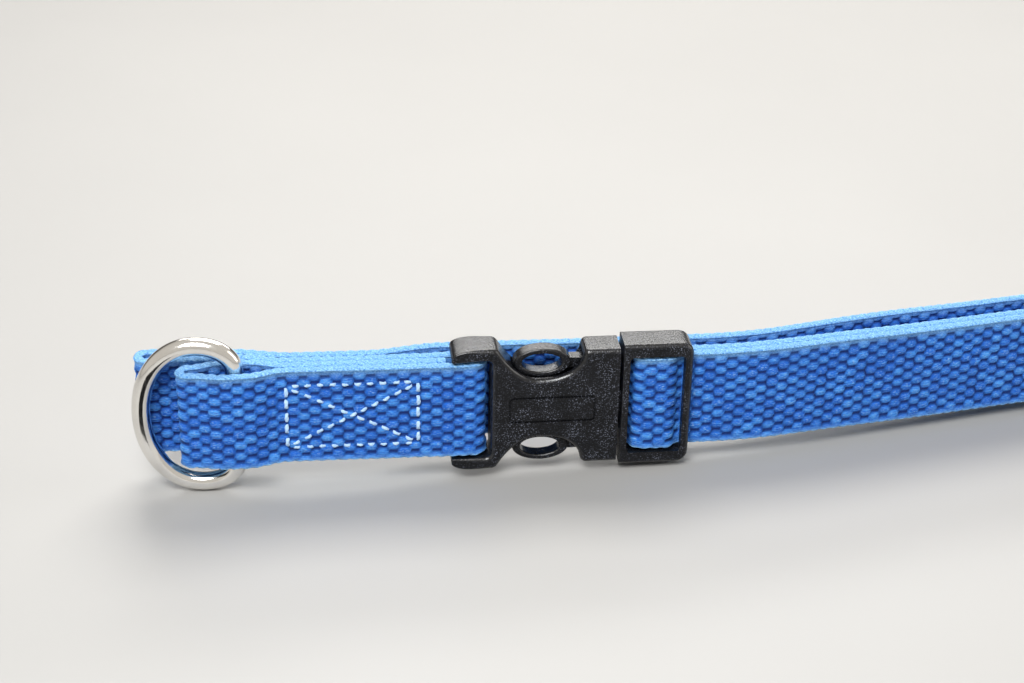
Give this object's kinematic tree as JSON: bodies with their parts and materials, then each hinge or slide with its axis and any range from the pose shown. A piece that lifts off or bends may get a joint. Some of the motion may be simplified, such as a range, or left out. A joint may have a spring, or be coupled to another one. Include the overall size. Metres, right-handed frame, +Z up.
{
  "type": "quick-release pet collar",
  "caption": "Adjustable webbing pet collar with a side-release buckle, a D-ring held by box-and-cross sewing, and a tri-glide adjuster, pressed flat and standing on edge.",
  "frame": {"origin": "on the flat back face of the buckle, at mid-width of the strap", "axes": "+X along the strap from the D-ring towards the adjuster, -Y outwards from the front face of the buckle, +Z up across the strap's width"},
  "size_m": [0.2514, 0.0338, 0.0406],
  "materials": {
    "webbing": "coarse flat-woven, soft sheen",
    "buckle_plastic": "fine spark-eroded texture, smoother edges",
    "ring_metal": "polished nickel plate on wire",
    "thread": "twisted sewing thread"
  },
  "bodies": {
    "male_side": {"buckle_male": "buckle_plastic", "webbing_right": "webbing", "webbing_inner_run": "webbing"},
    "female_side": {"buckle_female": "buckle_plastic", "webbing_left": "webbing", "stitch_box_left": "thread", "stitch_box_right": "thread", "stitch_box_top": "thread", "stitch_box_bottom": "thread", "stitch_cross_long": "thread", "stitch_cross_upper_left": "thread", "stitch_cross_lower_right": "thread"},
    "prong_upper_arm": {"prong_upper": "buckle_plastic"},
    "prong_lower_arm": {"prong_lower": "buckle_plastic"},
    "ring": {"d_ring": "ring_metal"},
    "adjuster": {"tri_glide": "buckle_plastic", "webbing_slider_end": "webbing", "stitch_slider_tack": "thread"}
  },
  "joints": [
    {"name": "buckle_release", "type": "slide", "parent": "male_side", "child": "female_side", "axis": [-1, 0, 0], "range_m": [0, 0.028], "deforming": ["prong_upper", "prong_lower"]},
    {"name": "prong_upper_squeeze", "type": "hinge", "parent": "male_side", "child": "prong_upper_arm", "pos_m": [0.011, -0.0042, 0.0101], "axis": [0, -1, 0], "range_deg": [0, 8], "stiffness_Nm_per_rad": 0.02},
    {"name": "prong_lower_squeeze", "type": "hinge", "parent": "male_side", "child": "prong_lower_arm", "pos_m": [0.011, -0.0042, -0.0101], "axis": [0, 1, 0], "range_deg": [0, 8], "stiffness_Nm_per_rad": 0.02},
    {"name": "d_ring_swing", "type": "hinge", "parent": "female_side", "child": "ring", "pos_m": [-0.0793, -0.0055, 0], "axis": [0, 0, 1], "range_deg": [0, 150]},
    {"name": "adjuster_slide", "type": "slide", "parent": "male_side", "child": "adjuster", "axis": [0.9848, 0.1736, 0], "range_m": [-0.03, 0.002], "deforming": ["webbing_inner_run"]}
  ],
  "couplings": [
    {"joint": "prong_lower_squeeze", "follows": "prong_upper_squeeze", "ratio": 1}
  ]
}
